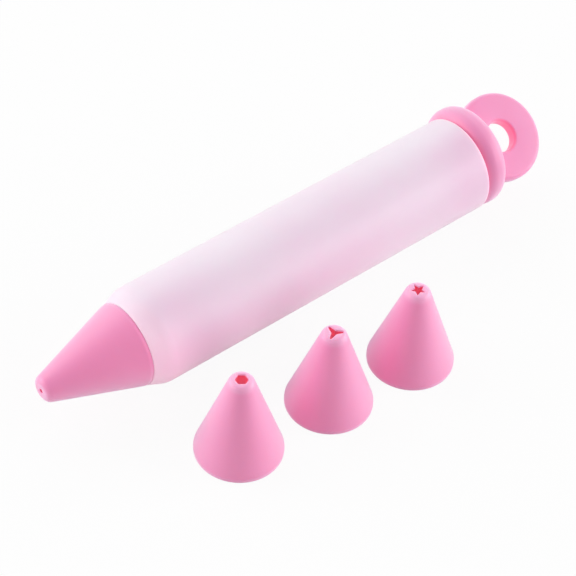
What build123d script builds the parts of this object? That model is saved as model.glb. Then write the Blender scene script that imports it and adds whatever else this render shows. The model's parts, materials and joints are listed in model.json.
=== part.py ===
from build123d import *
from math import atan2, degrees, radians, sin, sqrt
import os

# Squeeze pen for decorating cakes, lying on a table beside three spare tips.
# Millimetres, +Z up. The pen's axis runs along X with its writing tip towards -X.
# It is modelled from its shoulder, where the full width of the barrel begins,
# and the whole set is then centred on the origin with the table at Z = 0.

# Barrel, one translucent silicone moulding that is squeezed by hand
barrel_radius = 16.0
barrel_length = 127.0
barrel_wall = 1.8
barrel_rim_rounding = 0.5
shoulder_length = 5.5
shoulder_depth = 2.2
shoulder_rounding = 3.0
mouth_lip = 0.3
mouth_rounding = 0.15
snout_end_gap = 6.5
snout_wall = 1.5

# Tips, hollow silicone cones that push over the barrel's snout
tip_wall = 1.6
tip_skirt = 1.2
tip_base_rounding = 0.15
tip_fit_gap = 0.1
tip_seat_gap = 0.05
tip_cavity_depth = 26.5
tip_cavity_end_radius = 3.6
spare_tip_height = 30.4
spare_tip_end_radius = 3.5
spare_tip_end_rounding = 2.0
writing_tip_height = 31.0
writing_tip_end_radius = 3.9
writing_tip_end_rounding = 2.2

# Openings in the tips, each cut straight through the end of its cone
writing_hole_radius = 0.7
hexagon_radius = 2.0
hexagon_rounding = 0.5
hexagon_angle = 23.0
slot_arm_length = 2.7
slot_root_radius = 0.85
slot_end_width = 0.6
slot_angle = -33.5
star_point_radius = 2.35
star_notch_radius = 1.08
star_angle = 7.0
slot_arms = 3
star_points = 5
hexagon_sides = 6

# End plug, one silicone moulding: insert, and a head of rolled collar and hanging ring
# that sits a little off the insert's axis, in the plane of the ring
plug_insert_length = 10.0
plug_fit_gap = 0.08
plug_lead_length = 2.0
plug_lead_depth = 0.8
plug_seat_gap = 0.1
plug_head_offset = 1.0
collar_overhang = 1.0
collar_width = 8.8
collar_rounding = 4.0
ring_inset = 1.0
ring_thickness = 4.6
ring_rounding = 1.5
ring_centre_reach = 10.3
ring_hole_radius = 5.2
ring_hole_rounding = 1.0
ring_root_rounding = 1.5
ring_roll = 37.2

# Where the spare tips stand beside the barrel
hex_tip_from_shoulder = 4.9
hex_to_slot_gap = 6.1
slot_to_star_gap = 4.3
hex_tip_side_gap = 11.8
slot_tip_side_gap = 13.6
star_tip_side_gap = 15.3

# Overrun of cutting tools past the faces that they cut
overrun = 1.0

# Sizes that follow from the ones above
bore_radius = barrel_radius - barrel_wall
mouth_radius = barrel_radius - shoulder_depth
tip_base_radius = mouth_radius - mouth_lip
tip_inner_radius = tip_base_radius - tip_wall
cavity_slope = (tip_inner_radius - tip_cavity_end_radius) / tip_cavity_depth
snout_length = tip_cavity_depth - snout_end_gap
snout_root_radius = tip_inner_radius - tip_fit_gap
snout_end_radius = snout_root_radius - cavity_slope * snout_length
snout_thickness = snout_wall * sqrt(1 + cavity_slope**2)
throat_length = (bore_radius - snout_root_radius + snout_thickness) / cavity_slope
plug_radius = bore_radius - plug_fit_gap
collar_radius = barrel_radius + collar_overhang
ring_radius = barrel_radius - ring_inset
collar_drop = collar_overhang - plug_head_offset * sin(radians(ring_roll))
pen_tilt = degrees(atan2(collar_drop, barrel_length + collar_width / 2))


def turned(points, roundings):
    """Turn a closed outline of (along, out) points about the X axis."""
    outline = FilletPolyline(*points, radius=roundings, close=True)
    return revolve(make_face(outline), Axis.X)


def make_barrel():
    """Tube, tapered shoulder, mouth and the snout that carries a tip."""
    mouth = -shoulder_length
    snout_end = mouth - snout_length
    points = [
        (barrel_length, bore_radius),
        (barrel_length, barrel_radius),
        (0, barrel_radius),
        (mouth, mouth_radius),
        (mouth, snout_root_radius),
        (snout_end, snout_end_radius),
        (snout_end, snout_end_radius - snout_thickness),
        (mouth + throat_length, bore_radius),
    ]
    lip = mouth_rounding
    roundings = [0, barrel_rim_rounding, shoulder_rounding, lip, 0, lip, 0, shoulder_rounding]
    return turned(points, roundings)


def regular_points(count, radius, turn):
    """Points at equal angles on a circle."""
    return [Vector(radius, 0).rotate(Axis.Z, turn + n * 360 / count) for n in range(count)]


def make_tip(height, end_radius, end_rounding, opening):
    """Hollow cone that stands on its open base, with a shaped opening in its end."""
    cone = [
        (0, 0),
        (0, tip_base_radius),
        (tip_skirt, tip_base_radius),
        (height, end_radius),
        (height, 0),
    ]
    cavity = [
        (-overrun, 0),
        (-overrun, tip_inner_radius + cavity_slope * overrun),
        (tip_cavity_depth, tip_cavity_end_radius),
        (tip_cavity_depth, 0),
    ]
    body = turned(cone, [0, tip_base_rounding, 0, end_rounding, 0])
    body -= turned(cavity, [0, 0, 0, 0])
    upright = Rot(0, -90, 0) * body
    through = height - tip_cavity_depth + 2 * overrun
    return upright - Pos(0, 0, tip_cavity_depth - overrun) * extrude(opening, through)


def round_opening():
    """Fine hole of the writing tip."""
    return Circle(writing_hole_radius)


def hexagon_opening():
    """Six-sided hole with softened corners."""
    corners = regular_points(hexagon_sides, hexagon_radius, hexagon_angle)
    return make_face(FilletPolyline(*corners, radius=hexagon_rounding, close=True))


def slot_opening():
    """Three arms that narrow outwards to blunt ends."""
    half = slot_end_width / 2
    outline = []
    for n in range(slot_arms):
        turn = slot_angle + n * 360 / slot_arms
        outline.append(Vector(slot_arm_length, -half).rotate(Axis.Z, turn))
        outline.append(Vector(slot_arm_length, half).rotate(Axis.Z, turn))
        outline.append(Vector(slot_root_radius, 0).rotate(Axis.Z, turn + 180 / slot_arms))
    return make_face(Polyline(*outline, close=True))


def star_opening():
    """Five-pointed star."""
    points = regular_points(star_points, star_point_radius, star_angle)
    notches = regular_points(star_points, star_notch_radius, star_angle + 180 / star_points)
    outline = [corner for pair in zip(points, notches) for corner in pair]
    return make_face(Polyline(*outline, close=True))


def make_ring():
    """Flat round ring with softened edges, lying in the XY plane."""
    disc = Cylinder(ring_radius, ring_thickness)
    disc = fillet(disc.edges().filter_by(GeomType.CIRCLE), ring_rounding)
    disc -= Cylinder(ring_hole_radius, ring_thickness)
    rims = disc.edges().filter_by(lambda e: e.geom_type == GeomType.CIRCLE and
                                  abs(e.radius - ring_hole_radius) < ring_hole_rounding)
    return fillet(rims, ring_hole_rounding)


def make_plug_head(front, back):
    """Rolled collar with the ring behind it, lying in the XY plane."""
    points = [(front, 0), (front, collar_radius), (back, collar_radius), (back, 0)]
    collar = turned(points, [0, collar_rounding, collar_rounding, 0])
    head = collar + Pos(back + ring_centre_reach, 0, 0) * make_ring()
    collar_back = head.faces().filter_by(Axis.X).sort_by(Axis.X)[-1]
    return fillet(collar_back.inner_wires()[0].edges(), ring_root_rounding)


def make_end_plug():
    """Insert that closes the bore, with the head rolled about its axis."""
    front = barrel_length + plug_seat_gap
    back = front + collar_width
    insert_end = barrel_length - plug_insert_length
    points = [
        (insert_end, 0),
        (insert_end, plug_radius - plug_lead_depth),
        (insert_end + plug_lead_length, plug_radius),
        (front + collar_rounding, plug_radius),
        (front + collar_rounding, 0),
    ]
    insert = turned(points, [0, 0, 0, 0, 0])
    return insert + Rot(ring_roll, 0, 0) * Pos(0, plug_head_offset, 0) * make_plug_head(front, back)


def make_pen():
    """The pen's pieces in place on its level axis."""
    writing_tip = make_tip(
        writing_tip_height,
        writing_tip_end_radius,
        writing_tip_end_rounding,
        round_opening(),
    )
    mouth = Pos(-shoulder_length - tip_seat_gap, 0, 0)
    return {
        "barrel": make_barrel(),
        "writing_tip": mouth * Rot(0, -90, 0) * writing_tip,
        "end_plug": make_end_plug(),
    }


def make_spare_tips():
    """Three tips standing on the table in a row beside the barrel."""
    step = 2 * tip_base_radius
    hex_place = hex_tip_from_shoulder
    slot_place = hex_place + step + hex_to_slot_gap
    star_place = slot_place + step + slot_to_star_gap
    row = [
        ("hexagon_tip", hexagon_opening(), hex_place, hex_tip_side_gap),
        ("slot_tip", slot_opening(), slot_place, slot_tip_side_gap),
        ("star_tip", star_opening(), star_place, star_tip_side_gap),
    ]
    tips = {}
    for name, opening, along, side_gap in row:
        tip = make_tip(spare_tip_height, spare_tip_end_radius, spare_tip_end_rounding, opening)
        aside = barrel_radius + side_gap + tip_base_radius
        tips[name] = Pos(along, -aside, 0) * tip
    return tips


def make_set():
    """The whole set, centred on the origin and standing on the table at Z = 0."""
    lying = Pos(0, 0, barrel_radius) * Rot(0, -pen_tilt, 0)
    pieces = {name: lying * piece for name, piece in make_pen().items()}
    pieces.update(make_spare_tips())
    box = Compound(list(pieces.values())).bounding_box()
    centre = Pos(-box.center().X, -box.center().Y, -box.min.Z)
    return {name: centre * piece for name, piece in pieces.items()}


os.makedirs("parts", exist_ok=True)
for node, solid in make_set().items():
    export_step(solid, f"parts/{node}.step")
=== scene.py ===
import json
from math import cos, hypot, pi, radians, sin, sqrt, tan

import bmesh
import bpy
from bpy.props import FloatProperty, FloatVectorProperty, IntProperty, PointerProperty
from bpy.types import Operator, Panel, PropertyGroup
from mathutils import Matrix, Vector
from mathutils.kdtree import KDTree


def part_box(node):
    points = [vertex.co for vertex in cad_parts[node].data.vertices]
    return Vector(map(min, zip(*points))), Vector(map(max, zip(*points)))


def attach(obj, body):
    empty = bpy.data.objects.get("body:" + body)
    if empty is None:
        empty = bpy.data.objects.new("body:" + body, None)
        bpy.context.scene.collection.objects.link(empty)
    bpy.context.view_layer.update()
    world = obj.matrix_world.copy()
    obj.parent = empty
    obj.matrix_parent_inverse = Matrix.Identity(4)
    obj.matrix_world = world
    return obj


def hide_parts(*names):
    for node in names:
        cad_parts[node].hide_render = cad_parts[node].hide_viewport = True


bl_info = {
    "name": "Icing Pen Set",
    "version": (1, 0, 0),
    "blender": (4, 5, 0),
    "location": "View3D > Sidebar > Icing Pen",
    "description": "Builds a silicone icing pen and its spare tips around the packed frame",
    "category": "Add Mesh",
}

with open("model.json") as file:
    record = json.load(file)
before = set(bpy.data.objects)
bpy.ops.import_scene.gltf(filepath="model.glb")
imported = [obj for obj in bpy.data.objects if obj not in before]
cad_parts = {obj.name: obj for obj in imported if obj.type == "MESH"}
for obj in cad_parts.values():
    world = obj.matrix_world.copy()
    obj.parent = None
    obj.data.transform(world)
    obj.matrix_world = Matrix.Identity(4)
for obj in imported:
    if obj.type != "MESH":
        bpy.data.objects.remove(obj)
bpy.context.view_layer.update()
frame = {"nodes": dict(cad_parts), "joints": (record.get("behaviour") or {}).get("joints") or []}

MM = 0.001
WELD = 1e-6
SHARP_ANGLE = radians(40)


def length(name, description, millimetres):
    """A size in the sidebar, given here in millimetres."""
    return FloatProperty(name=name, description=description, default=millimetres * MM,
                         precision=5, unit="LENGTH")


def angle(name, description, degrees):
    """An angle in the sidebar, given here in degrees."""
    return FloatProperty(name=name, description=description, default=radians(degrees),
                         subtype="ANGLE")


def colour(name, description, rgb):
    """A colour in the sidebar."""
    return FloatVectorProperty(name=name, description=description, default=rgb,
                               size=3, min=0, max=1, subtype="COLOR")


def number(name, description, value):
    """A plain number in the sidebar."""
    return FloatProperty(name=name, description=description, default=value)


class BarrelSizes(PropertyGroup):
    """The translucent barrel with its shoulder, mouth and snout."""
    radius: length("Radius", "Outer radius of the tube", 16.0)
    length: length("Length", "Tube from shoulder to rear rim", 127.0)
    wall: length("Wall", "Thickness of the tube's wall", 1.8)
    rim_rounding: length("Rim rounding", "Softness of the rear rim", 0.5)
    shoulder_length: length("Shoulder length", "Taper from the tube to the mouth", 5.5)
    shoulder_depth: length("Shoulder depth", "How far the shoulder pulls in", 2.2)
    shoulder_rounding: length("Shoulder rounding", "Softness where the shoulder begins", 8.0)
    mouth_rounding: length("Mouth rounding", "Softness of the mouth's lip", 0.15)
    snout_length: length("Snout length", "Nozzle that the tips push over", 20.0)
    snout_root_radius: length("Snout root radius", "Snout where it leaves the mouth", 11.8)
    snout_end_radius: length("Snout end radius", "Snout at its open end", 5.536)
    snout_wall: length("Snout wall", "Snout wall measured across the axis", 1.572)
    throat_length: length("Throat length", "Taper inside, from the mouth to the full bore", 12.68)


class TipSizes(PropertyGroup):
    """The hollow cones that push over the snout."""
    base_radius: length("Base radius", "Outer radius of the open base", 13.5)
    wall: length("Wall", "Wall at the base", 1.6)
    skirt: length("Skirt", "Upright band above the base", 1.2)
    base_rounding: length("Base rounding", "Softness of the base's edge", 0.15)
    cavity_depth: length("Cavity depth", "Hollow that takes the snout", 26.5)
    cavity_end_radius: length("Cavity end radius", "Hollow at its narrow end", 3.6)
    spare_height: length("Spare tip height", "Height of each spare tip", 30.4)
    spare_end_radius: length("Spare tip end radius", "Spare tip's end before rounding", 3.5)
    spare_end_rounding: length("Spare tip end rounding", "Softness of a spare tip's end", 2.0)
    writing_height: length("Writing tip length", "Length of the fitted tip", 31.0)
    writing_end_radius: length("Writing tip end radius", "Fitted tip's end before rounding", 3.9)
    writing_end_rounding: length("Writing tip end rounding", "Softness of the fitted end", 2.2)
    seat_gap: length("Seat gap", "Space between the fitted tip and the mouth", 0.05)
    opening_rounding: length("Opening rounding", "Softness of a shaped opening's edge", 0.42)
    hole_rounding: length("Hole rounding", "Softness of the edge round the fine hole", 0.15)


class OpeningSizes(PropertyGroup):
    """The shaped openings in the tips' ends."""
    hole_radius: length("Hole radius", "Round hole of the writing tip", 0.7)
    hexagon_radius: length("Hexagon radius", "Six-sided opening, centre to corner", 2.0)
    hexagon_rounding: length("Hexagon rounding", "Softness of the hexagon's corners", 0.5)
    hexagon_angle: angle("Hexagon angle", "Turn of the six-sided opening", 23.0)
    slot_length: length("Slot length", "Three-armed opening, centre to arm end", 2.7)
    slot_root: length("Slot root", "Three-armed opening, centre to crotch", 0.85)
    slot_width: length("Slot width", "Width of an arm's end", 0.6)
    slot_angle: angle("Slot angle", "Turn of the three-armed opening", -33.5)
    star_radius: length("Star radius", "Star opening, centre to point", 2.35)
    star_notch: length("Star notch", "Star opening, centre to notch", 1.08)
    star_angle: angle("Star angle", "Turn of the star opening", 7.0)
    corner_rounding: length("Corner rounding", "Softness of the slot's and star's corners", 0.12)


class PlugSizes(PropertyGroup):
    """Where the end plug's collar and hanging hole lie, for the plug's material."""
    seat_gap: length("Seat gap", "Space between collar and rear rim", 0.1)
    head_offset: length("Head offset", "Head's centre from the insert's", 1.0)
    collar_width: length("Collar width", "Width of the collar along the axis", 8.8)
    collar_rounding: length("Collar rounding", "Roll of the collar's edges", 4.0)
    ring_reach: length("Ring reach", "Ring's centre from the collar's back", 10.3)
    hole_radius: length("Hole radius", "Hanging hole", 5.2)
    hole_rounding: length("Hole rounding", "Softness of the hanging hole's edges", 1.0)
    ring_roll: angle("Ring roll", "Roll of the ring about the pen's axis", 37.2)


class SiliconeColours(PropertyGroup):
    """Colours of the moulded silicone, with painted light and shade among them."""
    pink: colour("Pink", "Tips", (0.97, 0.137, 0.43))
    pink_pale: colour("Pale pink", "Lighter drifts in the tips' pink", (0.98, 0.155, 0.45))
    # Pink at the end is painted light: a paler pink for light scattered through a spare tip's thin
    # end
    pink_end_painted_light: colour("Pink at the end", "Thin, lighter end of a spare tip", (0.97, 0.42, 0.68))
    plug: colour("Plug", "End plug", (0.86, 0.125, 0.405))
    plug_pale: colour("Pale plug", "Lighter drifts in the end plug", (0.87, 0.142, 0.425))
    # Deep pink is painted: painted shade in the crevice by the collar, and part of the painted glow
    # on the hanging hole's wall
    pink_deep_painted_shade_and_glow: colour("Deep pink", "Crevice by the collar and hanging hole", (0.94, 0.085, 0.30))
    hole_glow: colour("Hole glow", "Light through the ring into its hole", (1.0, 0.06, 0.14))
    # Inside is painted light: a deeper red on the tips' inner walls for light reddened through the
    # pink; the inside glow is a painted glow
    inside: colour("Inside", "Deep colour inside the tips", (0.85, 0.16, 0.26))
    inside_glow: colour("Inside glow", "Light through the tips' soft walls", (0.85, 0.26, 0.40))
    edge_glow: colour("Edge glow", "Light that gathers at the barrel's ends", (1.0, 0.58, 0.64))
    frosted: colour("Frosted", "Barrel's side towards the tips", (0.91, 0.725, 0.86))
    # Frosted top and back are painted light: a painted highlight that pales the top, and painted
    # shade on the side away from the tips
    frosted_top_painted_highlight: colour("Frosted top", "Paler strip along the barrel's top", (0.90, 0.77, 0.88))
    frosted_back_painted_shade: colour("Frosted back", "Barrel's side away from the tips", (0.76, 0.58, 0.71))
    # Frosted pink serves the random drifts of tone and painted pink bounce light from the plug and
    # the tips near the ends
    frosted_pink_drift_and_bounce: colour("Frosted pink", "Barrel where it drifts to pink", (0.885, 0.59, 0.78))


class StudioSettings(PropertyGroup):
    """Camera and lamps."""
    target_x: length("Target X", "Point on the floor that the camera looks at", -4.3495)
    target_y: length("Target Y", "Point on the floor that the camera looks at", 21.1895)
    distance: length("Distance", "Camera from its target", 691.476)
    azimuth: angle("Azimuth", "Camera's turn about the vertical", -41.6833)
    elevation: angle("Elevation", "Camera's height above the horizon", 45.8655)
    roll: angle("Roll", "Camera's roll", 3.6244)
    lens: number("Lens", "Focal length in millimetres", 136.3322)
    right_power: number("Right lamp", "Watts of the low softbox on the right", 31.0)
    left_power: number("Left lamp", "Watts of the low softbox on the left", 22.0)
    rear_power: number("Rear lamp", "Watts of the low softbox behind, to the left", 2.0)
    high_power: number("High lamp", "Watts of the high softbox behind, to the left", 8.0)
    back_power: number("Back lamp", "Watts of the high softbox straight behind", 2.0)
    ambient: number("Ambient", "Strength of the room's light", 0.51)
    turns: IntProperty(name="Turns", description="Facets round a turned piece", default=180, min=60)


def sizes(group):
    """The user's settings of one kind."""
    return getattr(bpy.context.scene, "icing_pen_" + group)


# Outlines and turned shapes

ARC_SEGMENTS = 8
RING_STEP = 2.2 * MM


def round_corner(bm, corner, radius, segments=ARC_SEGMENTS):
    """Replace a corner of a wire outline by an arc."""
    if not radius:
        return
    arms = [(e.other_vert(corner).co - corner.co).normalized() for e in corner.link_edges]
    bend = pi - arms[0].angle(arms[1])
    reach = radius * tan(bend / 2)
    bmesh.ops.bevel(bm, geom=[corner], affect="VERTICES", offset_type="OFFSET", offset=reach,
                    segments=segments, profile=0.5, material=-1, clamp_overlap=False)


def wire(points, closed=False):
    """Wire through points, and its corners in the same order."""
    bm = bmesh.new()
    corners = [bm.verts.new(point) for point in points]
    followers = corners[1:] + corners[:1] if closed else corners[1:]
    for start, end in zip(corners, followers):
        bm.edges.new((start, end))
    return bm, corners


def outline(points, roundings):
    """Wire outline of (out, up) points in the XZ plane, with rounded corners."""
    bm, corners = wire([(out, 0, up) for out, up in points])
    for corner, radius in zip(corners, roundings):
        round_corner(bm, corner, radius)
    return bm


def cut_runs(bm, cuts_of):
    """Cut each straight run of a wire, as many times as cuts_of says for its length."""
    for edge in bm.edges[:]:
        cuts = cuts_of(edge.calc_length())
        if cuts:
            bmesh.ops.subdivide_edges(bm, edges=[edge], cuts=cuts)


def turn(bm):
    """Turn a wire outline about the Z axis into a skin."""
    cut_runs(bm, lambda run: int(run / RING_STEP))
    bmesh.ops.spin(bm, geom=bm.verts[:] + bm.edges[:], cent=(0, 0, 0), axis=(0, 0, 1),
                   angle=2 * pi, steps=sizes("studio").turns, use_merge=True)
    bmesh.ops.remove_doubles(bm, verts=bm.verts, dist=WELD)


def out_of_axis(place):
    """Distance of a place from the Z axis."""
    return hypot(place.x, place.y)


def add_object(name, data):
    """Put data in the scene as an object at the origin."""
    made = bpy.data.objects.new(name, data)
    bpy.context.scene.collection.objects.link(made)
    return made


def add_mesh(name, bm, materials):
    """Turn a bmesh into an object with its materials."""
    mesh = bpy.data.meshes.new(name)
    bm.to_mesh(mesh)
    bm.free()
    for material in materials:
        mesh.materials.append(material)
    return add_object(name, mesh)


def add_piece(bm, name, body, node, materials, place):
    """Put a finished mesh in the row frame and tie it to its body."""
    bmesh.ops.recalc_face_normals(bm, faces=bm.faces)
    bmesh.ops.transform(bm, matrix=place, verts=bm.verts)
    for face in bm.faces:
        face.smooth = True
    for edge in bm.edges:
        edge.smooth = edge.calc_face_angle(0) < SHARP_ANGLE
    piece = add_mesh(name, bm, materials)
    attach(piece, body)
    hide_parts(node)


def pen_place():
    """The pen's own frame: its shoulder's centre, with X along its axis."""
    b = sizes("barrel")
    axis = next(Vector(j["axis"]) for j in frame["joints"] if j["name"] == "plug_pull")
    axis.normalize()
    low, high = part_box("barrel")
    start = Vector((
        high.x - b.length * axis.x - b.radius * axis.z,
        (low.y + high.y) / 2,
        low.z + b.radius * axis.x,
    ))
    return Matrix.Translation(start) @ axis.to_track_quat("X", "Z").to_matrix().to_4x4()


def along_pen(shift=0.0, backwards=False):
    """Place for a shape that is turned about Z, laid along the pen's axis."""
    quarter = Matrix.Rotation(-pi / 2 if backwards else pi / 2, 4, "Y")
    return pen_place() @ Matrix.Translation((shift, 0, 0)) @ quarter


def standing(node):
    """Place for an upright tip: the middle of its CAD node's base."""
    low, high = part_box(node)
    return Matrix.Translation(((low.x + high.x) / 2, (low.y + high.y) / 2, low.z))


# Openings in the tips

HEXAGON_SIDES = 6
HEXAGON_ARC = 6
SLOT_ARMS = 3
SLOT_END_CUTS = 3
STAR_POINTS = 5
CORNER_ARC = 2


def softened_polygon(points, rounding, segments):
    """Closed flat wire polygon with rounded corners."""
    bm, corners = wire([(x, y, 0) for x, y in points], closed=True)
    for corner in corners:
        round_corner(bm, corner, rounding, segments)
    return bm


def polar(radius, turned):
    """Flat point at a radius and an angle."""
    return radius * cos(turned), radius * sin(turned)


def round_opening():
    """Fine round hole."""
    bm = bmesh.new()
    bmesh.ops.create_circle(bm, radius=sizes("openings").hole_radius,
                            segments=sizes("studio").turns)
    return bm


def hexagon_opening():
    """Six-sided hole with softened corners."""
    o = sizes("openings")
    turns = [o.hexagon_angle + n * 2 * pi / HEXAGON_SIDES for n in range(HEXAGON_SIDES)]
    points = [polar(o.hexagon_radius, turned) for turned in turns]
    bm = softened_polygon(points, o.hexagon_rounding, HEXAGON_ARC)
    side_cuts = sizes("studio").turns // HEXAGON_SIDES - HEXAGON_ARC - 1
    cut_runs(bm, lambda run: side_cuts if run > o.hexagon_rounding else 0)
    return bm


def slot_opening():
    """Three arms that narrow outwards to blunt ends."""
    o = sizes("openings")
    points = []
    for n in range(SLOT_ARMS):
        turned = o.slot_angle + n * 2 * pi / SLOT_ARMS
        end = Vector(polar(o.slot_length, turned))
        side = Vector(polar(o.slot_width / 2, turned + pi / 2))
        points += [end - side, end + side, polar(o.slot_root, turned + pi / SLOT_ARMS)]
    bm = softened_polygon(points, o.corner_rounding, CORNER_ARC)
    per_arm = sizes("studio").turns // SLOT_ARMS - 3 * CORNER_ARC
    side_cuts = (per_arm - SLOT_END_CUTS - 1) // 2 - 1

    def cuts_of(run):
        if run > o.slot_width:
            return side_cuts
        return SLOT_END_CUTS if run > 2 * o.corner_rounding else 0

    cut_runs(bm, cuts_of)
    return bm


def star_opening():
    """Five-pointed star."""
    o = sizes("openings")
    points = []
    for n in range(STAR_POINTS):
        turned = o.star_angle + n * 2 * pi / STAR_POINTS
        points += [polar(o.star_radius, turned), polar(o.star_notch, turned + pi / STAR_POINTS)]
    bm = softened_polygon(points, o.corner_rounding, CORNER_ARC)
    run_cuts = sizes("studio").turns // (2 * STAR_POINTS) - CORNER_ARC - 1
    cut_runs(bm, lambda run: run_cuts if run > o.star_radius / 4 else 0)
    return bm


class FlatOutline:
    """A flat closed outline that tells how far a place lies from it."""

    def __init__(self, bm):
        self.spots = KDTree(len(bm.verts))
        self.runs = []
        for index, vert in enumerate(bm.verts):
            self.spots.insert(vert.co, index)
            ways = [e.other_vert(vert).co.xy - vert.co.xy for e in vert.link_edges]
            self.runs.append([(vert.co.xy, way) for way in ways])
        self.spots.balance()

    def distance(self, place):
        """Flat distance from a place to the nearest run of the outline."""
        nearest = self.spots.find(Vector((place.x, place.y, 0)))[1]
        gaps = []
        for start, way in self.runs[nearest]:
            share = min(1.0, max(0.0, (place.xy - start).dot(way) / way.length_squared))
            gaps.append((place.xy - start - way * share).length)
        return min(gaps)


# Tips

TOP_RINGS = 14
WALL_RINGS = 3

# Share of an end's rounding, from its flat outwards, that isn't turned but shaped round the opening
SHAPED_SHARE = 0.45

# Places in a tip's list of materials: its skin comes first
INSIDE = 1


def boundary_near(bm, test):
    """Open edges whose two ends pass a test on their place."""
    return [e for e in bm.edges if e.is_boundary and all(test(v.co) for v in e.verts)]


def verts_of(geometry):
    """The vertices in the geometry that an operator returns."""
    return {g for g in geometry if isinstance(g, bmesh.types.BMVert)}


def end_height(out, height, flat, rounding):
    """Height of a tip's rounded end at a distance from its axis."""
    past = min(max(out - flat, 0.0), rounding)
    return height - rounding + sqrt(rounding ** 2 - past ** 2)


def merged(bm, other):
    """Add another bmesh to this one and return its new vertices."""
    mesh = bpy.data.meshes.new("joined")
    other.to_mesh(mesh)
    other.free()
    before = set(bm.verts)
    bm.from_mesh(mesh)
    bpy.data.meshes.remove(mesh)
    return [v for v in bm.verts if v not in before]


def make_tip(height, end_radius, end_rounding, opening, soft):
    """Hollow cone on its open base, with a shaped and softened opening in its end."""
    t = sizes("tips")
    slope = (t.base_radius - end_radius) / (height - t.skirt)
    bend = pi / 2 - Vector((1, slope)).angle(Vector((1, 0)))
    flat = end_radius - end_rounding * tan(bend / 2)
    bm = tip_shell(height, end_radius, end_rounding, flat)
    rim = boundary_near(bm, lambda p: p.z > t.cavity_depth + WELD)
    ceiling = boundary_near(bm, lambda p: p.z < t.cavity_depth + WELD)
    cut = FlatOutline(opening)
    loop, lower_loop = opening_walls(bm, opening, height, t.cavity_depth)
    top = bmesh.ops.bridge_loops(bm, edges=loop + rim)["edges"]
    # Two loops in one plane are joined by how their faces are wound, so those have to agree first
    bmesh.ops.recalc_face_normals(bm, faces=bm.faces)
    for face in bmesh.ops.bridge_loops(bm, edges=lower_loop + ceiling)["faces"]:
        face.material_index = INSIDE
    cuts = bmesh.ops.subdivide_edges(bm, edges=top, cuts=TOP_RINGS, use_grid_fill=True)
    edge_verts = {v for e in loop for v in e.verts}
    for vert in verts_of(cuts["geom_inner"]) | edge_verts:
        gap = 0.0 if vert in edge_verts else cut.distance(vert.co)
        sunk = soft - sqrt(soft ** 2 - max(0.0, soft - gap) ** 2)
        vert.co.z = end_height(out_of_axis(vert.co), height, flat, end_rounding) - sunk
    return bm


def tip_shell(height, end_radius, end_rounding, flat):
    """Turned cone and cavity, open where the shaped end and the ceiling go."""
    t = sizes("tips")
    inner = t.base_radius - t.wall
    points = [
        (t.cavity_end_radius, t.cavity_depth),
        (inner, 0),
        (t.base_radius, 0),
        (t.base_radius, t.skirt),
        (end_radius, height),
        (flat / 2, height),
    ]
    bm = outline(points, [0, 0, t.base_rounding, t.skirt / 2, end_rounding, 0])
    kept = flat + SHAPED_SHARE * end_rounding
    dropped = [v for v in bm.verts if v.co.z > t.cavity_depth + WELD and v.co.x < kept]
    bmesh.ops.delete(bm, geom=dropped, context="VERTS")
    turn(bm)
    slope = (inner - t.cavity_end_radius) / t.cavity_depth
    for face in bm.faces:
        middle = face.calc_center_median()
        if abs(out_of_axis(middle) - inner + slope * middle.z) < t.wall / 4:
            face.material_index = INSIDE
    return bm


def opening_walls(bm, opening, top, bottom):
    """Straight walls of a shaped opening, with its edges at the top and at the bottom."""
    bmesh.ops.translate(opening, vec=(0, 0, top), verts=opening.verts)
    added = set(merged(bm, opening))
    loop = [e for e in bm.edges if all(v in added for v in e.verts)]
    lower = verts_of(bmesh.ops.extrude_edge_only(bm, edges=loop)["geom"])
    bmesh.ops.translate(bm, vec=(0, 0, bottom - top), verts=list(lower))
    lower_loop = [e for e in bm.edges if all(v in lower for v in e.verts)]
    walls = [e for e in bm.edges if len(lower.intersection(e.verts)) == 1]
    for edge in walls:
        for face in edge.link_faces:
            face.material_index = INSIDE
    bmesh.ops.subdivide_edges(bm, edges=walls, cuts=WALL_RINGS, use_grid_fill=True)
    return loop, lower_loop


# Barrel

def make_barrel():
    """Tube, tapered shoulder, mouth and the snout that carries a tip."""
    b = sizes("barrel")
    bore = b.radius - b.wall
    mouth = -b.shoulder_length
    snout_end = mouth - b.snout_length
    lip = b.mouth_rounding
    corners = [
        ((bore, b.length), 0),
        ((b.radius, b.length), b.rim_rounding),
        ((b.radius, 0), b.shoulder_rounding),
        ((b.radius - b.shoulder_depth, mouth), lip),
        ((b.snout_root_radius, mouth), 0),
        ((b.snout_end_radius, snout_end), lip),
        ((b.snout_end_radius - b.snout_wall, snout_end), 0),
        ((bore, mouth + b.throat_length), b.shoulder_rounding),
        ((bore, b.length / 2), 0),
        ((bore, b.length), 0),
    ]
    bm = outline(*zip(*corners))
    turn(bm)
    return bm


# Building blocks of the materials

NOISE_BAND = (0.3, 0.7)
NOISE_ROUGHNESS = 0.5
NOISE_DETAIL = {"Grain Size": 2.0, "Wave Size": 1.0, "Drift Size": 3.0}
WAVES_TO_GRAIN = 6.0
BUMP_DEPTH = 0.012 * MM
SILICONE_IOR = 1.45
GLOSS = 0.8
BLOOM_ROUGHNESS = 0.8

# Sizes of the fine grain, the soft waves and the slow drifts of tone
SOLID_SURFACE = {"Grain Size": 0.6 * MM, "Wave Size": 9 * MM, "Drift Size": 20 * MM}
FROSTED_SURFACE = {"Grain Size": 0.5 * MM, "Wave Size": 12 * MM, "Drift Size": 35 * MM}


def node(tree, kind, **settings):
    """A node of a kind, with its settings and the values of its inputs."""
    made = tree.nodes.new(kind)
    for name, value in settings.items():
        if name.startswith("in_"):
            made.inputs[name[3:].replace("_", " ")].default_value = value
        else:
            setattr(made, name, value)
    return made


def link(tree, source, target):
    """Join an output to an input, each given as (node, socket)."""
    tree.links.new(source[0].outputs[source[1]], target[0].inputs[target[1]])


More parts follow.
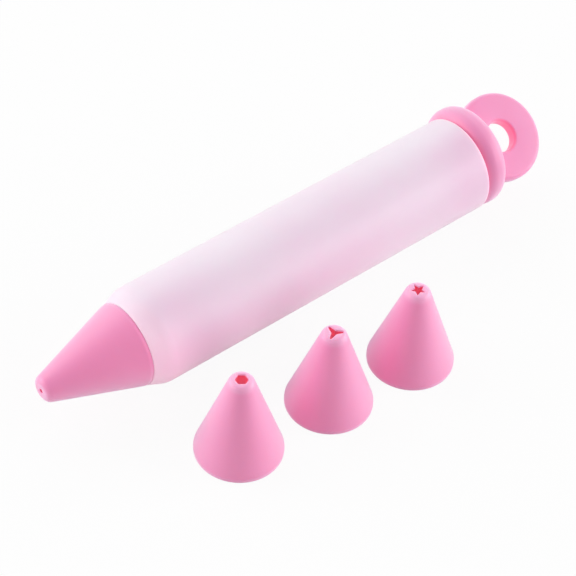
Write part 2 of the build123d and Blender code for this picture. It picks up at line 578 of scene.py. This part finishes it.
def clean_tree(owner):
    """The emptied node tree of a material or a world."""
    owner.use_nodes = True
    owner.node_tree.nodes.clear()
    return owner.node_tree


def group_tree(name, inputs, outputs):
    """A node group with named value inputs and outputs."""
    tree = bpy.data.node_groups.new(name, "ShaderNodeTree")
    for label, value in inputs.items():
        socket = tree.interface.new_socket(label, in_out="INPUT", socket_type="NodeSocketFloat")
        socket.default_value = value
    for label in outputs:
        tree.interface.new_socket(label, in_out="OUTPUT", socket_type="NodeSocketFloat")
    return tree, tree.nodes.new("NodeGroupInput"), tree.nodes.new("NodeGroupOutput")


def silicone_surface():
    """Shared surface of moulded silicone: fine grain, soft waviness and slow drifts of tone."""
    found = bpy.data.node_groups.get("silicone_surface")
    if found:
        return found
    tree, given, result = group_tree(
        "silicone_surface", FROSTED_SURFACE, ["Height", "Grain", "Drift"])
    place = node(tree, "ShaderNodeTexCoord")
    noises = []
    for label, detail in NOISE_DETAIL.items():
        scale = node(tree, "ShaderNodeMath", operation="DIVIDE")
        scale.inputs[0].default_value = 1.0
        link(tree, (given, label), (scale, 1))
        noise = node(tree, "ShaderNodeTexNoise", in_Detail=detail, in_Roughness=NOISE_ROUGHNESS)
        link(tree, (place, "Object"), (noise, "Vector"))
        link(tree, (scale, 0), (noise, "Scale"))
        noises.append((noise, "Fac"))
    grain, wave, drift = noises
    height = node(tree, "ShaderNodeMath", operation="MULTIPLY_ADD")
    height.inputs[1].default_value = WAVES_TO_GRAIN
    link(tree, wave, (height, 0))
    link(tree, grain, (height, 2))
    for source, label in (((height, 0), "Height"), (grain, "Grain"), (drift, "Drift")):
        link(tree, source, (result, label))
    return tree


def surface_node(tree, surface_sizes):
    """Place the shared silicone surface in a material."""
    made = tree.nodes.new("ShaderNodeGroup")
    made.node_tree = silicone_surface()
    for label, value in surface_sizes.items():
        made.inputs[label].default_value = value
    return made


def new_material(name):
    """A node material with only its shader and output."""
    material = bpy.data.materials.new(name)
    tree = clean_tree(material)
    shader = node(tree, "ShaderNodeBsdfPrincipled")
    link(tree, (shader, "BSDF"), (node(tree, "ShaderNodeOutputMaterial"), "Surface"))
    return material, tree, shader


def ramp(tree, source, start, end, low, high, shape):
    """A value's clamped step from low at start to high at end."""
    made = node(tree, "ShaderNodeMapRange", clamp=True, interpolation_type=shape)
    limits = {"From Min": start, "From Max": end, "To Min": low, "To Max": high}
    for label, value in limits.items():
        made.inputs[label].default_value = value
    link(tree, source, (made, "Value"))
    return made, "Result"


def fade(tree, source, start, end, low, high):
    """Smooth step of a value from low at start to high at end."""
    return ramp(tree, source, start, end, low, high, "SMOOTHSTEP")


def spread(tree, source, low, high):
    """Stretch a noise value from its middle band to low..high."""
    return ramp(tree, source, *NOISE_BAND, low, high, "LINEAR")


def maths(tree, operation, first, second, clamped=False):
    """A sum, product or other outcome of two values."""
    made = node(tree, "ShaderNodeMath", operation=operation, use_clamp=clamped)
    link(tree, first, (made, 0))
    link(tree, second, (made, 1))
    return made, 0


def sum_of(tree, first, second):
    """Sum of two values, held between 0 and 1."""
    return maths(tree, "ADD", first, second, clamped=True)


def product_of(tree, first, second):
    """Product of two values."""
    return maths(tree, "MULTIPLY", first, second)


def blend_colours(tree, factor, first, second):
    """Mix two colours by a value, each given as a plain colour or as (node, socket)."""
    mix = node(tree, "ShaderNodeMix", data_type="RGBA")
    link(tree, factor, (mix, "Factor"))
    for label, value in (("A", first), ("B", second)):
        place = next(i for i, s in enumerate(mix.inputs) if s.name == label and s.type == "RGBA")
        if len(value) == 3:
            mix.inputs[place].default_value = (*value, 1)
        else:
            link(tree, value, (mix, place))
    return mix, next(i for i, s in enumerate(mix.outputs) if s.type == "RGBA")


def bump(tree, height, shader):
    """Feed a height into the shader's normal."""
    made = node(tree, "ShaderNodeBump", in_Strength=1.0, in_Distance=BUMP_DEPTH)
    link(tree, height, (made, "Height"))
    link(tree, (made, "Normal"), (shader, "Normal"))


def add_glow(tree, shader, mask, tint, strength):
    """Let the skin glow in a tint where a mask says."""
    link(tree, blend_colours(tree, mask, (0, 0, 0), tint), (shader, "Emission Color"))
    shader.inputs["Emission Strength"].default_value = strength


def set_scatter(shader, weight, radius, depth):
    """Light that spreads under the skin, farther in some colours than in others."""
    shader.inputs["Subsurface Weight"].default_value = weight
    shader.inputs["Subsurface Radius"].default_value = radius
    shader.inputs["Subsurface Scale"].default_value = depth


def satin_gloss(shader, bloom, bloom_colour):
    """Soft gloss and velvety bloom of matt silicone."""
    shader.inputs["IOR"].default_value = SILICONE_IOR
    shader.inputs["Specular IOR Level"].default_value = GLOSS
    shader.inputs["Sheen Weight"].default_value = bloom
    shader.inputs["Sheen Roughness"].default_value = BLOOM_ROUGHNESS
    shader.inputs["Sheen Tint"].default_value = (*bloom_colour, 1)


def place_within(tree, own):
    """Place in a frame of its own."""
    place = node(tree, "ShaderNodeTexCoord")
    centred = node(tree, "ShaderNodeMapping", vector_type="TEXTURE")
    centred.inputs["Location"].default_value = own.to_translation()
    centred.inputs["Rotation"].default_value = own.to_euler()
    link(tree, (place, "Object"), (centred, "Vector"))
    return centred, 0


def pen_coordinates(tree):
    """Distance along the pen from its shoulder, and across it, away from the tips."""
    split = node(tree, "ShaderNodeSeparateXYZ")
    link(tree, place_within(tree, pen_place()), (split, 0))
    return (split, "X"), (split, "Y")


def from_hole_axis(tree):
    """Distance from the axis of the hanging hole."""
    b, p = sizes("barrel"), sizes("plug")
    reach = b.length + p.seat_gap + p.collar_width + p.ring_reach
    rolled = pen_place() @ Matrix.Rotation(p.ring_roll, 4, "X")
    ring = rolled @ Matrix.Translation((reach, p.head_offset, 0))
    flat = node(tree, "ShaderNodeVectorMath", operation="MULTIPLY")
    flat.inputs[1].default_value = (1, 1, 0)
    away = node(tree, "ShaderNodeVectorMath", operation="LENGTH")
    link(tree, place_within(tree, ring), (flat, 0))
    link(tree, (flat, 0), (away, 0))
    return away, "Value"


def height_above(tree):
    """Height above the table."""
    place = node(tree, "ShaderNodeTexCoord")
    split = node(tree, "ShaderNodeSeparateXYZ")
    link(tree, (place, "Object"), (split, 0))
    return split, "Z"


def shared(name, make):
    """The material of a name, made on first use."""
    return bpy.data.materials.get(name) or make(name)


# Materials of the pink pieces

OUTER = {"roughness": 0.42, "scatter": 0.5, "depth": 1.5 * MM, "bloom": 1.0}
INNER = {"roughness": 0.5, "scatter": 1.0, "depth": 8 * MM, "bloom": 0.0}
ROUGHNESS_SWING = 0.05
PINK_SCATTER = (1.0, 0.35, 0.5)
PINK_BLOOM = (1.0, 0.85, 1.0)

# A spare tip's end painted paler, as painted light scattered through its thin silicone, and the
# shade just below its opening's edge
PAINTED_END_LIGHT_REACH = 2.9 * MM
PAINTED_END_LIGHT_SHARE = 0.7
RIM_SHADE = 2.6 * MM

INSIDE_GLOW = 0.15
HOLE_GLOW = 0.22


def solid_silicone(name, first, second, roughness, scatter, depth, bloom):
    """Opaque satin silicone that lets a little light through, with its tree, shader and tone."""
    material, tree, shader = new_material(name)
    surface = surface_node(tree, SOLID_SURFACE)
    tone = blend_colours(tree, spread(tree, (surface, "Drift"), 0.0, 1.0), first, second)
    link(tree, tone, (shader, "Base Color"))
    smoothest, roughest = roughness - ROUGHNESS_SWING, roughness + ROUGHNESS_SWING
    rough = spread(tree, (surface, "Grain"), smoothest, roughest)
    link(tree, rough, (shader, "Roughness"))
    bump(tree, (surface, "Height"), shader)
    set_scatter(shader, scatter, PINK_SCATTER, depth)
    satin_gloss(shader, bloom, PINK_BLOOM)
    return material, tree, shader, tone


def pink_silicone(name):
    """Outer skin of the fitted tip."""
    c = sizes("colours")
    return solid_silicone(name, c.pink, c.pink_pale, **OUTER)[0]


def spare_silicone(name):
    """Outer skin of a spare tip, with painted light: paler towards its thin end."""
    c, t = sizes("colours"), sizes("tips")
    material, tree, shader, tone = solid_silicone(name, c.pink, c.pink_pale, **OUTER)
    pale_from = t.spare_height - PAINTED_END_LIGHT_REACH
    # Painted light: the end pales, standing in for light scattered through the thin silicone
    thin = fade(tree, height_above(tree), pale_from, t.spare_height, 0.0, PAINTED_END_LIGHT_SHARE)
    link(tree, blend_colours(tree, thin, tone, c.pink_end_painted_light), (shader, "Base Color"))
    return material


def ringed_silicone(name):
    """Skin of the end plug, with painted shade deepening the crevice by the barrel, and a painted
    glow with a deeper pink on the hanging hole's wall.
    """
    c, b, p = sizes("colours"), sizes("barrel"), sizes("plug")
    material, tree, shader, tone = solid_silicone(name, c.plug, c.plug_pale, **OUTER)
    front = b.length + p.seat_gap
    # Painted shade: the collar's front deepens towards the barrel's rear rim
    crevice = fade(tree, pen_coordinates(tree)[0], front, front + p.collar_rounding / 2, 1.0, 0.0)
    hole_rim = p.hole_radius + p.hole_rounding
    # Painted glow: the hanging hole's wall deepens and glows with light through the ring
    wall = fade(tree, from_hole_axis(tree), p.hole_radius, hole_rim, 1.0, 0.0)
    deep = blend_colours(tree, sum_of(tree, crevice, wall), tone, c.pink_deep_painted_shade_and_glow)
    link(tree, deep, (shader, "Base Color"))
    add_glow(tree, shader, wall, c.hole_glow, HOLE_GLOW)
    return material


def inside_silicone(name):
    """Walls inside the fitted tip, in a deeper red that is painted light, standing in for light
    reddened through the pink walls.
    """
    c = sizes("colours")
    return solid_silicone(name, c.inside, c.inside, **INNER)[0]


def glowing_inside(name):
    """Walls inside a spare tip, in the same painted deeper red, which glow with the light that has
    passed through the pink.
    """
    c, t = sizes("colours"), sizes("tips")
    material, tree, shader = solid_silicone(name, c.inside, c.inside, **INNER)[:3]
    shade_from = t.spare_height - RIM_SHADE
    below = fade(tree, height_above(tree), shade_from, t.spare_height, 1.0, 0.0)
    add_glow(tree, shader, below, c.inside_glow, INSIDE_GLOW)
    return material


# Material of the barrel

FROSTED_ROUGHNESS = (0.42, 0.52)
FROSTED_SCATTER = (1.0, 0.8, 0.9)
FROSTED_DEPTH = 1 * MM
FROSTED_TRANSMISSION = 0.05
FROSTED_BLOOM = 0.5

# How far the painted pink bounce light reaches from the barrel's ends, and its shares: by the
# collar, behind the mouth, left of that at the mouth itself; and the share of pink in the slow
# drifts of tone
PAINTED_BOUNCE_REACH = 32 * MM
COLLAR_PAINTED_BOUNCE = 0.9
MOUTH_PAINTED_BOUNCE = 0.8
LIP_PAINTED_BOUNCE = 0.4
DRIFT_PINK = 0.35

# How far the glow reaches in from the mouth, the shoulder and the rear rim, and its shares: at
# the mouth, and at the shoulder on the tips' side and away from it
MOUTH_GLOW = 16 * MM
SHOULDER_GLOW = 3 * MM
RIM_GLOW = 1.2 * MM
MOUTH_LIGHT = 0.75
SHOULDER_LIGHT = (0.8, 0.3)
EDGE_GLOW = 0.22


def frosted_tone(tree, surface, along, across):
    """The barrel's colour, with painted light: palest along its top as a painted highlight, darker
    on its far side as painted shade, and pinker near its ends on the tips' side as painted bounce
    light.
    """
    c, b = sizes("colours"), sizes("barrel")
    mouth = -b.shoulder_length
    near_side = fade(tree, across, -b.radius / 2, b.radius / 4, 1.0, 0.0)
    far_side = fade(tree, across, b.radius / 2, b.radius, 0.0, 1.0)
    # Painted pink bounce light from the plug and the tips, by the collar and behind the mouth, on
    # the tips' side
    near_collar = fade(tree, along, b.length - PAINTED_BOUNCE_REACH, b.length, 0.0, COLLAR_PAINTED_BOUNCE)
    behind_mouth = fade(tree, along, mouth, PAINTED_BOUNCE_REACH, MOUTH_PAINTED_BOUNCE, 0.0)
    past_lip = fade(tree, along, mouth, PAINTED_BOUNCE_REACH / 3, LIP_PAINTED_BOUNCE, 1.0)
    near_mouth = product_of(tree, behind_mouth, past_lip)
    ends = product_of(tree, sum_of(tree, near_collar, near_mouth), near_side)
    drift = spread(tree, (surface, "Drift"), 0.0, DRIFT_PINK)
    # Painted highlight along the top, and painted shade on the far side
    upper = blend_colours(tree, far_side, c.frosted_top_painted_highlight, c.frosted_back_painted_shade)
    plain = blend_colours(tree, near_side, upper, c.frosted)
    return blend_colours(tree, sum_of(tree, drift, ends), plain, c.frosted_pink_drift_and_bounce)


def frosted_light(tree, along, across):
    """Where light gathers in the barrel: at its mouth, its shoulder and its rear rim."""
    b = sizes("barrel")
    mouth = -b.shoulder_length
    low_side = fade(tree, across, -b.radius, -b.radius / 4, 1.0, 0.0)
    at_mouth = fade(tree, along, mouth, MOUTH_GLOW, MOUTH_LIGHT, 0.0)
    round_shoulder = fade(tree, across, -b.radius / 4, b.radius / 4, *SHOULDER_LIGHT)
    at_shoulder = fade(tree, along, mouth, SHOULDER_GLOW, 1.0, 0.0)
    low = product_of(tree, at_mouth, low_side)
    around = product_of(tree, at_shoulder, round_shoulder)
    rim = fade(tree, along, b.length - RIM_GLOW, b.length, 0.0, 1.0)
    return sum_of(tree, sum_of(tree, low, around), rim)


def frosted_silicone(name):
    """Milky translucent skin of the barrel, with a little glow at its edges."""
    material, tree, shader = new_material(name)
    surface = surface_node(tree, FROSTED_SURFACE)
    along, across = pen_coordinates(tree)
    link(tree, frosted_tone(tree, surface, along, across), (shader, "Base Color"))
    link(tree, spread(tree, (surface, "Grain"), *FROSTED_ROUGHNESS), (shader, "Roughness"))
    bump(tree, (surface, "Height"), shader)
    light = frosted_light(tree, along, across)
    add_glow(tree, shader, light, sizes("colours").edge_glow, EDGE_GLOW)
    set_scatter(shader, 1.0, FROSTED_SCATTER, FROSTED_DEPTH)
    shader.inputs["Transmission Weight"].default_value = FROSTED_TRANSMISSION
    satin_gloss(shader, FROSTED_BLOOM, (1, 1, 1))
    return material


# Stage

WHITE = (1, 1, 1, 1)
FLOOR_COLOUR = (0.9, 0.9, 0.9, 1)
FLOOR_HALF_WIDTH = 3.0
FLOOR_WHITENESS = 0.92
SENSOR_WIDTH = 36.0

SOFTBOX_SIZE = 1.4
SOFTBOX_AIM = Vector((0, 0, 10 * MM))
SOFTBOXES = {
    "right": (1.614, -1.076, 0.484),
    "left": (-1.403, 1.340, 0.484),
    "rear": (-0.112, 1.938, 0.484),
    "high": (-0.300, 1.380, 1.414),
    "back": (0.940, 1.056, 1.414),
}


def seen_directly(tree):
    """1 for rays from the camera or through gloss and glass, 0 for the light on the object."""
    path = node(tree, "ShaderNodeLightPath")
    either = maths(tree, "MAXIMUM", (path, "Is Camera Ray"), (path, "Is Glossy Ray"))
    return maths(tree, "MAXIMUM", either, (path, "Is Transmission Ray"))


def mix_shaders(tree, factor, first, second, output):
    """Mix two shaders by a value into an output node."""
    mix = node(tree, "ShaderNodeMixShader")
    link(tree, factor, (mix, 0))
    link(tree, (first, 0), (mix, 1))
    link(tree, (second, 0), (mix, 2))
    link(tree, (mix, 0), (output, "Surface"))


def floor_material():
    """Pale floor that looks almost white and still takes a soft shadow."""
    material = bpy.data.materials.new("white_floor")
    tree = clean_tree(material)
    diffuse = node(tree, "ShaderNodeBsdfDiffuse", in_Color=FLOOR_COLOUR)
    glow = node(tree, "ShaderNodeEmission", in_Color=WHITE, in_Strength=1.0)
    share = node(tree, "ShaderNodeMath", operation="MULTIPLY")
    share.inputs[1].default_value = FLOOR_WHITENESS
    link(tree, seen_directly(tree), (share, 0))
    mix_shaders(tree, (share, 0), diffuse, glow, node(tree, "ShaderNodeOutputMaterial"))
    return material


def make_floor():
    """Wide pale floor that keeps the object's soft shadow."""
    bm = bmesh.new()
    bmesh.ops.create_grid(bm, x_segments=1, y_segments=1, size=FLOOR_HALF_WIDTH)
    add_mesh("floor", bm, [floor_material()])


def make_world():
    """White surroundings for the camera, and a plain soft room light for the object."""
    world = bpy.data.worlds.new("studio")
    tree = clean_tree(world)
    ambient = sizes("studio").ambient
    room = node(tree, "ShaderNodeBackground", in_Color=WHITE, in_Strength=ambient)
    white = node(tree, "ShaderNodeBackground", in_Color=WHITE, in_Strength=1.0)
    mix_shaders(tree, seen_directly(tree), room, white, node(tree, "ShaderNodeOutputWorld"))
    bpy.context.scene.world = world


def add_softbox(name, place, power):
    """Square area lamp that faces the middle of the set."""
    data = bpy.data.lights.new(name, "AREA")
    data.shape = "SQUARE"
    data.size = SOFTBOX_SIZE
    data.energy = power
    lamp = add_object(name, data)
    lamp.location = place
    lamp.rotation_euler = (SOFTBOX_AIM - Vector(place)).to_track_quat("-Z", "Y").to_euler()
    lamp.visible_camera = False


def make_camera():
    """Camera at the photograph's viewing angle."""
    s = sizes("studio")
    level = Vector((-sin(s.azimuth), cos(s.azimuth), 0))
    forward = cos(s.elevation) * level - sin(s.elevation) * Vector((0, 0, 1))
    right = Vector((cos(s.azimuth), sin(s.azimuth), 0))
    up = right.cross(forward)
    across = cos(s.roll) * right + sin(s.roll) * up
    upward = cos(s.roll) * up - sin(s.roll) * right
    facing = Matrix((across, upward, -forward)).transposed().to_4x4()
    data = bpy.data.cameras.new("camera")
    data.sensor_width = SENSOR_WIDTH
    data.lens = s.lens
    camera = add_object("camera", data)
    target = Vector((s.target_x, s.target_y, 0))
    camera.matrix_world = Matrix.Translation(target - forward * s.distance) @ facing
    bpy.context.scene.camera = camera


# Operators and sidebar

class ICINGPEN_OT_stage(Operator):
    """Make the floor, the room, the lamps and the camera"""
    bl_idname = "icing_pen.stage"
    bl_label = "Stage"

    def execute(self, context):
        bpy.context.scene.view_settings.view_transform = "Standard"
        make_world()
        make_floor()
        for name, place in SOFTBOXES.items():
            add_softbox(name + "_softbox", place, getattr(sizes("studio"), name + "_power"))
        make_camera()
        return {"FINISHED"}


class ICINGPEN_OT_barrel(Operator):
    """Make the translucent barrel"""
    bl_idname = "icing_pen.barrel"
    bl_label = "Barrel"

    def execute(self, context):
        add_piece(make_barrel(), "squeeze_barrel", "barrel", "barrel",
                  [shared("frosted_white", frosted_silicone)], along_pen())
        return {"FINISHED"}


class ICINGPEN_OT_end_plug(Operator):
    """Finish the end plug with its collar and ring"""
    bl_idname = "icing_pen.end_plug"
    bl_label = "End plug"

    def execute(self, context):
        bm = bmesh.new()
        bm.from_mesh(frame["nodes"]["end_plug"].data)
        bmesh.ops.remove_doubles(bm, verts=bm.verts, dist=WELD)
        add_piece(bm, "ringed_plug", "end_plug", "end_plug",
                  [shared("ringed_pink", ringed_silicone)], Matrix())
        return {"FINISHED"}


class ICINGPEN_OT_writing_tip(Operator):
    """Make the tip that is fitted on the snout"""
    bl_idname = "icing_pen.writing_tip"
    bl_label = "Writing tip"

    def execute(self, context):
        t, b = sizes("tips"), sizes("barrel")
        bm = make_tip(t.writing_height, t.writing_end_radius, t.writing_end_rounding,
                      round_opening(), t.hole_rounding)
        materials = [shared("satin_pink", pink_silicone), shared("hole_pink", inside_silicone)]
        place = along_pen(-b.shoulder_length - t.seat_gap, backwards=True)
        add_piece(bm, "fitted_writing_tip", "writing_tip", "writing_tip", materials,
                  place)
        return {"FINISHED"}


class ICINGPEN_OT_spare_tips(Operator):
    """Make the three spare tips"""
    bl_idname = "icing_pen.spare_tips"
    bl_label = "Spare tips"

    def execute(self, context):
        t = sizes("tips")
        openings = {
            "hexagon_tip": hexagon_opening,
            "slot_tip": slot_opening,
            "star_tip": star_opening,
        }
        for name, opening in openings.items():
            bm = make_tip(t.spare_height, t.spare_end_radius, t.spare_end_rounding, opening(),
                          t.opening_rounding)
            materials = [shared("pale_ended_pink", spare_silicone),
                         shared("deep_pink", glowing_inside)]
            add_piece(bm, "spare_" + name, name, name, materials, standing(name))
        return {"FINISHED"}


class ICINGPEN_PT_sidebar(Panel):
    """Lists the steps of the set and their settings"""
    bl_idname = "ICINGPEN_PT_sidebar"
    bl_label = "Icing Pen"
    bl_space_type = "VIEW_3D"
    bl_region_type = "UI"
    bl_category = "Icing Pen"

    def draw(self, context):
        for operator in OPERATORS:
            self.layout.operator(operator.bl_idname)
        for group, kind in GROUPS.items():
            box = self.layout.box()
            for name in kind.__annotations__:
                box.prop(sizes(group), name)


OPERATORS = [ICINGPEN_OT_stage, ICINGPEN_OT_barrel, ICINGPEN_OT_end_plug, ICINGPEN_OT_writing_tip,
             ICINGPEN_OT_spare_tips]
GROUPS = {"barrel": BarrelSizes, "tips": TipSizes, "openings": OpeningSizes, "plug": PlugSizes,
          "colours": SiliconeColours, "studio": StudioSettings}


def register():
    """Register the classes and the scene's settings."""
    for kind in [*GROUPS.values(), *OPERATORS, ICINGPEN_PT_sidebar]:
        bpy.utils.register_class(kind)
    for group, kind in GROUPS.items():
        setattr(bpy.types.Scene, "icing_pen_" + group, PointerProperty(type=kind))


def unregister():
    """Take the classes and the scene's settings away again."""
    for group in GROUPS:
        delattr(bpy.types.Scene, "icing_pen_" + group)
    for kind in reversed([*GROUPS.values(), *OPERATORS, ICINGPEN_PT_sidebar]):
        bpy.utils.unregister_class(kind)


def main():
    """Build the set in order."""
    register()
    bpy.ops.icing_pen.stage()
    bpy.ops.icing_pen.barrel()
    bpy.ops.icing_pen.end_plug()
    bpy.ops.icing_pen.writing_tip()
    bpy.ops.icing_pen.spare_tips()


if __name__ == "__main__":
    main()
